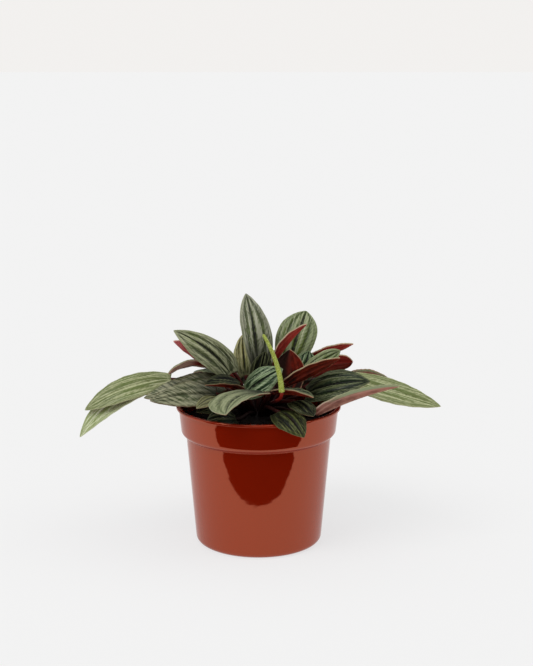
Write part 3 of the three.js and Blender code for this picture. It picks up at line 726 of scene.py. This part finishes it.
def upper_skin(look, ground_hex, silver_hex, fresh_hex, furrow_hex, line_hex, margin_hex, silvering,
               furrowing, contrast=1.0, painted_base_shade=0.3, shine=0.3, feather=0.5, banding=0.35):
    """The upper side's material: its six colours, how silvery it is, how dark its furrows are, partly with
    painted shade, how strong its pattern is, how much painted shade darkens it next to the stalk, how much
    it shines, how much of its silver is strokes and how much of it keeps to the ridges."""
    material, tree = new_material(f"waxy {look} leaf skin")
    veins, place, places, wave = on_blade(tree)
    away = add(tree, "Math", {0: veins.outputs["Y"]}, operation="ABSOLUTE")
    slant = add(tree, "Attribute", attribute_name="slant")
    drawn_out = add(tree, "VectorMath", {0: place.outputs["Vector"],
                                         1: (1 / LINE_LENGTH, 1 / LINE_PITCH, 0)}, operation="MULTIPLY")
    lines = add(tree, "TexNoise", {"Vector": drawn_out, "Scale": 1.0, "Detail": 2.0})
    leaning = add(tree, "VectorMath", {0: slant.outputs["Vector"],
                                       1: (1 / STROKE_LENGTH, 1 / STROKE_PITCH, 0)}, operation="MULTIPLY")
    strokes = add(tree, "TexNoise", {"Vector": leaning, "Scale": 1.0, "Detail": 2.0})
    patches = add(tree, "TexNoise", {"Vector": place.outputs["Vector"], "Scale": 1 / PATCH_SIZE,
                                     "Detail": 3.0})
    tints = add(tree, "TexNoise", {"Vector": place.outputs["Vector"], "Scale": 1 / TINT_SIZE,
                                   "Detail": 1.0})

    # What each fade reads, from where to where, its strength at the two ends, and how it fades.
    clearness = min(contrast, furrowing)
    fades = []
    for source, start, end, first, last, how in (
            (tints, 0.42, 0.68, 0.0, 0.75, "LINEAR"),
            (lines, 0.54, 0.64, 0.0, 1.2 * (1 - feather) * contrast, "SMOOTHSTEP"),
            (away, 0.15, 0.4, furrowing, SIDE_FURROWS * furrowing, "LINEAR"),
            (away, 0.15, 0.4, 1.65, 2.15, "LINEAR"),
            (away, 0.7, 0.9, 1.0, 0.0, "LINEAR"),
            (veins.outputs["X"], 0.5, 1.0, 1.0, 0.35, "LINEAR"),
            (patches, 0.35, 0.6, 0.6, 1.0, "LINEAR"),
            (places.outputs["Z"], STRIP_WIDTH, STRIP_WIDTH + STRIP_FADE, 0.45 * clearness, 0.0,
             "SMOOTHSTEP"),
            # Painted shade: this fade darkens the blade next to the stalk, where the light hardly reaches.
            (veins.outputs["X"], 0.0, 0.5, painted_base_shade, 0.0, "SMOOTHSTEP"),
            (places.outputs["Z"], 0.1, 0.7, 0.6, 0.0, "LINEAR")):
        fades.append(add(tree, "MapRange", {"Value": source, "From Min": start, "From Max": end,
                                            "To Min": first, "To Max": last}, interpolation_type=how))
    # near is the painted shade next to the stalk.
    fresh, hair, depth, foot, inside, fading, uneven, strip, near, margin = fades

    amount = silvering
    for source, weight in ((wave, -banding), (veins.outputs["Z"], 0.1), (patches, 0.9),
                           (lines, 2.2 * (1 - feather)), (strokes, 2.2 * feather)):
        amount = add(tree, "Math", {0: source, 1: weight, 2: amount}, operation="MULTIPLY_ADD")
    silver = add(tree, "MapRange", {"Value": amount, "From Min": 1.35, "From Max": 1.9,
                                    "To Min": 0.5 - 0.5 * contrast, "To Max": 0.5 + 0.5 * contrast})
    # The furrows' and the midrib crease's darkness is the veins' own colour, deepened as painted shade of the
    # sunken veins.
    strength = depth
    for part in (inside, fading, uneven):
        strength = add(tree, "Math", {0: strength, 1: part}, operation="MULTIPLY")
    shaken = add(tree, "Math", {0: strokes, 1: 3.0, 2: wave}, operation="MULTIPLY_ADD")
    furrow = add(tree, "MapRange", {"Value": shaken, "From Min": foot, "From Max": 2.6, "To Max": strength},
                 interpolation_type="SMOOTHSTEP")
    from_line = add(tree, "Math", {0: places.outputs["Z"], 1: DARK_LINE}, operation="SUBTRACT")
    beside = add(tree, "Math", {0: from_line}, operation="ABSOLUTE")
    along_margin = add(tree, "MapRange", {"Value": beside, "From Min": 0.1, "From Max": 0.8,
                                          "To Min": 0.5 * clearness, "To Max": 0.0})
    crease = add(tree, "MapRange", {"Value": away, "From Min": 0.02, "From Max": 0.1,
                                    "To Min": 0.8 * furrowing, "To Max": along_margin},
                 interpolation_type="SMOOTHSTEP")
    drawn = add(tree, "Math", {0: crease, 1: uneven}, operation="MULTIPLY", use_clamp=True)

    colour = add(tree, "Mix", {0: fresh, 6: linear(ground_hex), 7: linear(fresh_hex)}, data_type="RGBA")
    for share, laid_over in ((silver, silver_hex), (hair, line_hex), (furrow, furrow_hex),
                             (strip, silver_hex), (drawn, furrow_hex), (near, PAINTED_SHADE_AT_STALK),
                             (margin, margin_hex)):
        colour = add(tree, "Mix", {0: share, 6: colour.outputs[2], 7: linear(laid_over)},
                     data_type="RGBA")
    relief = add(tree, "Bump", {"Height": amount, "Strength": 0.5, "Distance": SKIN_RELIEF * MM})
    finish_material(tree, {"Base Color": colour.outputs[2], "Roughness": 0.38, "IOR": 1.45,
                           "Specular IOR Level": shine, "Normal": relief})
    return material


# The skins fern, slate, lime and deep are darker copies of the leaf green, for blades that lie in the plant's
# shade: their darkness is partly painted shade. The dusky skin of the top leaf is darkened strongly next to
# its stalk with painted shade.
UPPER_SKINS = {
    "olive": upper_skin("olive", "#42492a", "#8b8e6e", "#576430", "#101305", "#b2b596", "#9a9c78", 0.0, 1.1,
                        1.1, painted_base_shade=0.2),
    "fresh": upper_skin("fresh green", "#4a592a", "#88936c", "#66762e", "#131705", "#b0b492", "#9a9e78",
                        0.0, 1.1, 1.1, painted_base_shade=0.15),
    "painted_base_shade": upper_skin("dusky", "#454c2e", "#92947e", "#566234", "#0d1004", "#bcbfa8", "#9a9c7a", 0.0, 1.15,
                       1.15, painted_base_shade=0.9, feather=0.6),
    "fern": upper_skin("shade-painted fern green", "#143112", "#6e805c", "#25451b", "#060b02", "#a9bb94", "#8c9472",
                       -0.03, 1.2, 1.3, painted_base_shade=0.5, banding=0.42),
    "khaki": upper_skin("khaki", "#41421f", "#6f6e4a", "#464e24", "#1c1b0a", "#8e8d66", "#827c5a", 0.0, 0.9,
                        0.8, painted_base_shade=0.3),
    "moss": upper_skin("moss green", "#605e2a", "#a8a676", "#626d36", "#1c1b06", "#c2c290", "#a8a070", 0.0,
                       1.1, 1.1, painted_base_shade=0.7),
    "silver": upper_skin("silver", "#333a1f", "#949477", "#3a4721", "#14180a", "#b0ae90", "#6c4c38", 0.03,
                         0.25, 0.95, painted_base_shade=0.8, feather=1.0, banding=0.1),
    "pale": upper_skin("pale", "#5c6736", "#8d9368", "#57672d", "#bcc198", "#b9be96", "#b2b58c", 0.0, 0.75,
                       0.9, painted_base_shade=0.0, feather=0.35, banding=-0.3),
    # bright is a lighter copy of the pale skin for left_droop: painted light where left_long's shadow falls
    # on it.
    "bright": upper_skin("bright", "#828f58", "#b0b98c", "#7e8e50", "#dfe3c4", "#d4dab8", "#ccd2ac", 0.03,
                         0.7, 0.8, painted_base_shade=0.0, feather=0.35, banding=-0.25),
    "flushed": upper_skin("flushed", "#6e3426", "#9a5a48", "#7c4432", "#3c140c", "#b08a78", "#7c8058", 0.0,
                          0.7, 0.8, painted_base_shade=0.6, feather=0.35),
    "milky": upper_skin("milky", "#4d5636", "#8f9572", "#4e5b30", "#1a200a", "#a9af88", "#a6aa88", 0.05,
                        1.2, 0.55, painted_base_shade=1.0, banding=0.4, feather=0.6),
    "slate": upper_skin("shade-painted slate green", "#0f1c0c", "#51583b", "#1a2c10", "#040701", "#7f8665", "#757b5d",
                        -0.06, 1.2, 1.3, painted_base_shade=0.7, shine=0.2),
    "lime": upper_skin("shade-painted lime green", "#060c02", "#373c1c", "#181f06", "#100703", "#666a3e", "#5a603c",
                       -0.12, 1.2, 1.5, painted_base_shade=0.6, shine=0.12, banding=0.5),
    "deep": upper_skin("shade-painted deep green", "#050802", "#2f321d", "#0d1205", "#030402", "#5e6344", "#4a4e34",
                       -0.12, 1.1, 1.4, painted_base_shade=0.5, shine=0.1, banding=0.4),
}


# Skin of the underside: wine red and smooth, duller than the top, with pinker ribs under the veins, duskier
# patches, painted shade next to the stalk and a pinkish cream line along the margin, or a broad pink one on a
# blade that curls.
BLUSH_SIZE = 9
BLOTCH_SIZE = 4.5
UNDER_SKIN_RELIEF = 0.3


def under_skin(look, ground_hex, shade_and_dull_hex, rib_hex, margin_hex, margin_reach=1.0, painted_base_shade=0.5, patch=None):
    """The underside's material: its four colours (the second is for its duller patches and its painted
    shade), how far in the margin's colour reaches, how much painted shade darkens it next to the stalk, and a
    patch: its colour, and from where to where it fades in, across and along the blade."""
    material, tree = new_material(f"{look} leaf underside")
    veins, place, places, wave = on_blade(tree)
    blotches = add(tree, "TexNoise", {"Vector": place.outputs["Vector"], "Scale": 1 / BLOTCH_SIZE,
                                      "Detail": 4.0})
    blush = add(tree, "TexNoise", {"Vector": place.outputs["Vector"], "Scale": 1 / BLUSH_SIZE,
                                   "Detail": 2.0})
    # Painted shade: the underside darkens next to the stalk, where the light hardly reaches.
    near = add(tree, "MapRange", {"Value": veins.outputs["X"], "From Min": 0.1, "From Max": 0.65,
                                  "To Min": painted_base_shade, "To Max": 0.0}, interpolation_type="SMOOTHSTEP")
    dull = add(tree, "MapRange", {"Value": blush, "From Min": 0.35, "From Max": 0.62, "To Min": 0.6,
                                  "To Max": 0.0})
    painted_shade_and_dull = add(tree, "Math", {0: near, 1: dull}, operation="ADD", use_clamp=True)
    shaken = add(tree, "Math", {0: blotches, 1: 2.6, 2: wave}, operation="MULTIPLY_ADD")
    rib = add(tree, "MapRange", {"Value": shaken, "From Min": 1.0, "From Max": 2.8, "To Max": 0.5},
              interpolation_type="SMOOTHSTEP")
    margin = add(tree, "MapRange", {"Value": places.outputs["Z"], "From Min": 0.2 * margin_reach,
                                    "From Max": margin_reach, "To Min": 0.9, "To Max": 0.0})
    layers = [(painted_shade_and_dull, shade_and_dull_hex), (rib, rib_hex), (margin, margin_hex)]
    if patch:
        patch_hex, across, along = patch
        beyond = add(tree, "MapRange", {"Value": veins.outputs["X"], "From Min": along[0],
                                        "From Max": along[1]}, interpolation_type="SMOOTHSTEP")
        patched = add(tree, "MapRange", {"Value": veins.outputs["Y"], "From Min": across[0],
                                         "From Max": across[1], "To Max": beyond},
                      interpolation_type="SMOOTHSTEP")
        layers.append((patched, patch_hex))
    colour = linear(ground_hex)
    for share, laid_over in layers:
        mixed = add(tree, "Mix", {0: share, 6: colour, 7: linear(laid_over)}, data_type="RGBA")
        colour = mixed.outputs[2]
    relief = add(tree, "Bump", {"Height": blotches, "Strength": 0.4, "Distance": UNDER_SKIN_RELIEF * MM})
    finish_material(tree, {"Base Color": colour, "Roughness": 0.55, "IOR": 1.4, "Specular IOR Level": 0.3,
                           "Normal": relief})
    return material


UNDER_SKINS = {
    "wine": under_skin("wine red", "#80200f", "#300e08", "#9a3a22", "#b99a7a"),
    # maroon, on red_centre, is darkened fully next to the stalk and has a near-black patch over the midrib
    # there: painted shade.
    "maroon": under_skin("maroon", "#8a2010", "#1a0703", "#a03420", "#b99a7a", painted_base_shade=1.0,
                         patch=("#240a05", (-0.3, 0.3), (0.0, 0.1))),
    "scarlet": under_skin("scarlet", "#aa3228", "#821e18", "#be5244", "#cfb095", painted_base_shade=0.3),
    "pink": under_skin("pink", "#c25a5e", "#a8484a", "#d67c78", "#d2a096", painted_base_shade=0.0),
    "rose": under_skin("rose", "#a26c5a", "#66382c", "#b88c7c", "#c9a898",
                       patch=("#8a946f", (0.55, 0.7), (0.15, 0.45))),
    # dusty, on the down-facing left_hook: its pink flap and broad pink margin are the leaf's own pink, laid
    # on lighter to make up for the shade under it, so partly painted light.
    "dusty": under_skin("dusty pink", "#701c0f", "#4a0f08", "#903020", "#b0917c", 5.0,
                        patch=("#b08a7a", (-1.2, -1.0), (0.45, 0.7))),
}

for number, row in enumerate(LEAVES):
    points, faces, sides, fields = blade(number, row)
    skins = UPPER_SKINS[row["skin"]], UNDER_SKINS[row["back"]]
    thing = new_object(f"blade_{row['name']}", points, faces, *skins)
    thing.data.polygons.foreach_set("material_index", sides)
    for name, values in fields.items():
        attribute = thing.data.attributes.new(name, "FLOAT_VECTOR", "POINT")
        attribute.data.foreach_set("vector", values.ravel())
    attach(thing, "root")
    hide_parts(f"leaf_{row['name']}")

# Crown and stalks: one short knobbly stem in the soil, and the fleshy round stalks that grew out of it and
# bend over into the blades. Red where the light reaches, and painted nearly black purple towards the soil as
# painted shade.
CROWN_SHOULDER = 84.5
CROWN_TOP = 98
CROWN_TOP_RADIUS = 6.6
CROWN_FOOT = 74
CROWN_FOOT_RADIUS = 5
CROWN_SIDES = 48
CROWN_STEP = 1.5
KNOBS = 0.5
KNOB_SIZE = 3
STALK_RADIUS = 1.35
STALK_SWELL = 0.3
STALK_END_SWELL = 0.1
SPIKE_STALK_SHARE = 0.85
STALK_SIDES = 12
STALK_STEPS = 26
STALK_FIRST_PULL = 0.4
STALK_LAST_PULL = 0.22
ROOT_INNER = 2.5
ROOT_OUTER = 8.5
ROOT_Z = 93
LONGEST_REACH = 60
SPIKE_BASE = np.array([16.0, -48, 123])
SPIKE_TIP = np.array([3.0, -50, 164])
SPIKE_BOW = 2.6


def stalk_route(base, ending, lean):
    """Points along a stalk: up and out of the crown, then over into the way that it ends."""
    outward = np.array([base[0], base[1], 0.0])
    share = min(1, np.linalg.norm(outward) / LONGEST_REACH)
    outward /= np.linalg.norm(outward)
    root = outward * (ROOT_INNER + (ROOT_OUTER - ROOT_INNER) * share) + [0, 0, ROOT_Z]
    span = np.linalg.norm(root - base)
    leaving = unit(np.array([lean * outward[0], lean * outward[1], 1.0]))
    end = base + ending * GAP
    controls = [root, root + leaving * STALK_FIRST_PULL * span,
                base - ending * (GAP + STALK_LAST_PULL * span), end]
    u = np.linspace(0, 1, STALK_STEPS + 1)[:, None]
    weights = [(1 - u) ** 3, 3 * u * (1 - u) ** 2, 3 * u ** 2 * (1 - u), u ** 3]
    return sum(w * c for w, c in zip(weights, controls))


def tube(route, radii, sides):
    """Points and faces of a closed tube along a route."""
    ways = unit(np.gradient(route, axis=0))
    side = unit(np.cross(ways[0], [0.3, 0.5, 0.1]))
    points, faces = [], []
    for centre, way, radius in zip(route, ways, radii):
        side = unit(side - way * (side @ way))
        other = np.cross(way, side)
        for k in range(sides):
            angle = 2 * math.pi * k / sides
            points.append(centre + radius * (side * math.cos(angle) + other * math.sin(angle)))
    rings = len(route)
    for ring in range(rings - 1):
        for k in range(sides):
            low, after = ring * sides, (k + 1) % sides
            faces.append((low + k, low + after, low + sides + after, low + sides + k))
    faces.append(tuple(reversed(range(sides))))
    faces.append(tuple((rings - 1) * sides + k for k in range(sides)))
    return points, faces


crown_line = rounded([(0, CROWN_FOOT, 0), (CROWN_FOOT_RADIUS, CROWN_FOOT, 1.5),
                      (CROWN_RADIUS, CROWN_SHOULDER, 3), (CROWN_RADIUS, SOIL_TOP + SOIL_MOUND, 2),
                      (CROWN_TOP_RADIUS, CROWN_TOP, 2), (0, CROWN_TOP, 0)])
points, faces = turned(spaced(crown_line, CROWN_STEP), CROWN_SIDES)
knobbly = [1 + KNOBS / CROWN_RADIUS * (2 * noise.noise(Vector(p) / KNOB_SIZE) - 1) for p in points]
parts = [(np.array([(x * k, y * k, z) for (x, y, z), k in zip(points, knobbly)]), faces)]
u = np.linspace(0, 1, STALK_STEPS + 1)
stalk_radii = STALK_RADIUS + STALK_SWELL * (1 - u) ** 3 + STALK_END_SWELL * u ** 8
for row in LEAVES:
    tangent = blade_surface(row, np.array([0.0]), np.array([0.0]))[2][0]
    parts.append(tube(stalk_route(row["base"], tangent, row["lean"]), stalk_radii, STALK_SIDES))
spike_chord = SPIKE_TIP - SPIKE_BASE
spike_turn = Vector((0, 0, 1)).rotation_difference(Vector(spike_chord))
spike_side = np.array(spike_turn @ Vector((1, 0, 0)))
spike_start = unit(spike_chord + 4 * SPIKE_BOW * spike_side)
spike_stalk = stalk_route(SPIKE_BASE, spike_start, STALK_LEAN)
parts.append(tube(spike_stalk, stalk_radii * SPIKE_STALK_SHARE, STALK_SIDES))

# Stalk skin: fleshy, thin and waxy, so it shines softly along its length.
STALK_RED = "#4c120c"
STALK_SHADE = "#0c0403"
SHADE_FROM = 98
SHADE_TO = 132
SPIKE_STALK_RED = "#8c2014"
SPIKE_SHADE_FROM = 108
SPIKE_SHADE_TO = 122
MOTTLE_SIZE = 2.5
MOTTLE_REACH = 6
MOTTLE_RELIEF = 0.3

flesh, tree = new_material("fleshy red stalk skin")
place = add(tree, "TexCoord")
places = add(tree, "SeparateXYZ", {0: place.outputs["Object"]})
mottle = add(tree, "TexNoise", {"Vector": place.outputs["Object"], "Scale": 1 / (MOTTLE_SIZE * MM),
                                          "Detail": 3.0})
shaken = add(tree, "Math", {0: mottle, 1: MOTTLE_REACH * MM,
                                      2: places.outputs["Z"]}, operation="MULTIPLY_ADD")
# Painted shade: the stalks go from red to nearly black towards the soil, where they lie in shade.
reach = add(tree, "MapRange", {"Value": shaken, "From Min": SHADE_FROM * MM,
                                         "From Max": SHADE_TO * MM}, interpolation_type="SMOOTHSTEP")
colour = add(tree, "Mix", {0: reach, 6: linear(STALK_SHADE), 7: linear(STALK_RED)},
             data_type="RGBA")
relief = add(tree, "Bump", {"Height": mottle, "Strength": 0.3,
                                      "Distance": MOTTLE_RELIEF * MM})
finish_material(tree, {
    "Base Color": colour.outputs[2],
    "Roughness": 0.5,
    "IOR": 1.42,
    "Specular IOR Level": 0.2,
    "Normal": relief,
})

bright_flesh, tree = new_material("fleshy bright red stalk skin")
place = add(tree, "TexCoord")
places = add(tree, "SeparateXYZ", {0: place.outputs["Object"]})
# Painted shade: the spike's stalk, too, darkens to nearly black towards the soil.
reach = add(tree, "MapRange", {"Value": places.outputs["Z"], "From Min": SPIKE_SHADE_FROM * MM,
                                         "From Max": SPIKE_SHADE_TO * MM}, interpolation_type="SMOOTHSTEP")
colour = add(tree, "Mix", {0: reach, 6: linear(STALK_SHADE), 7: linear(SPIKE_STALK_RED)},
             data_type="RGBA")
finish_material(tree, {"Base Color": colour.outputs[2], "Roughness": 0.42, "IOR": 1.42})

stalks = new_object("red_crown_and_stalks", *joined(parts), flesh, bright_flesh)
spike_stalk_faces = len(parts[-1][1])
for polygon in stalks.data.polygons[-spike_stalk_faces:]:
    polygon.material_index = 1
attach(stalks, "root")
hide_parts("crown_and_stalks")

# Flower spike: a fleshy green cord, closely set with tiny florets in crossing spirals, tapering to a
# blunt end.
SPIKE_RADIUS = 1.9
SPIKE_TIP_RADIUS = 1.0
SPIKE_SIDES = 40
SPIKE_STEPS = 150
FLORET = 0.17
FLORET_ROWS = 6
FLORET_PITCH = 1.7
FLORET_SINK = 0.4
SPIKE_ROUNDED_FROM = 0.95

length = np.linalg.norm(spike_chord)
u = np.concatenate([[0, 0.004], np.linspace(0.01, 0.97, SPIKE_STEPS), [0.985, 0.995, 1]])
route = SPIKE_BASE + spike_chord * u[:, None] + spike_side * (4 * SPIKE_BOW * u * (1 - u))[:, None]
radii = SPIKE_RADIUS + (SPIKE_TIP_RADIUS - SPIKE_RADIUS) * u
past = ((u - SPIKE_ROUNDED_FROM) / (1 - SPIKE_ROUNDED_FROM)).clip(0, 1)
radii = radii * np.sqrt(np.clip(1 - past ** 2, 0.03, 1))
points, faces = tube(route, radii, SPIKE_SIDES)
points = np.array(points)
ring, turn = np.divmod(np.arange(len(points)), SPIKE_SIDES)
angle = FLORET_ROWS * 2 * math.pi * turn / SPIKE_SIDES
rise = 2 * math.pi * u[ring] * length / FLORET_PITCH
floret = (0.5 + 0.5 * np.cos(angle + rise)) * (0.5 + 0.5 * np.cos(angle - rise))
points += unit(points - route[ring] + 1e-9) * (FLORET * (2 * floret[:, None] - FLORET_SINK))

SPIKE_GREEN = "#939f3a"
FLORET_LIGHT = "#c3cf76"
FLORET_SIZE = 0.9

spike_skin, tree = new_material("green flower spike skin")
place = add(tree, "TexCoord")
dots = add(tree, "TexVoronoi", {"Vector": place.outputs["Object"],
                                          "Scale": 1 / (FLORET_SIZE * MM)})
light = add(tree, "MapRange", {"Value": dots, "From Min": 0.15,
                                         "From Max": 0.55, "To Min": 1.0, "To Max": 0.0})
colour = add(tree, "Mix", {0: light, 6: linear(SPIKE_GREEN), 7: linear(FLORET_LIGHT)},
             data_type="RGBA")
relief = add(tree, "Bump", {"Height": light, "Strength": 0.5, "Distance": 0.0002})
finish_material(tree, {
    "Base Color": colour.outputs[2],
    "Roughness": 0.5,
    "IOR": 1.42,
    "Normal": relief,
})
spike = new_object("green_flower_spike", points, faces, spike_skin)
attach(spike, "root")
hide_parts("flower_spike")
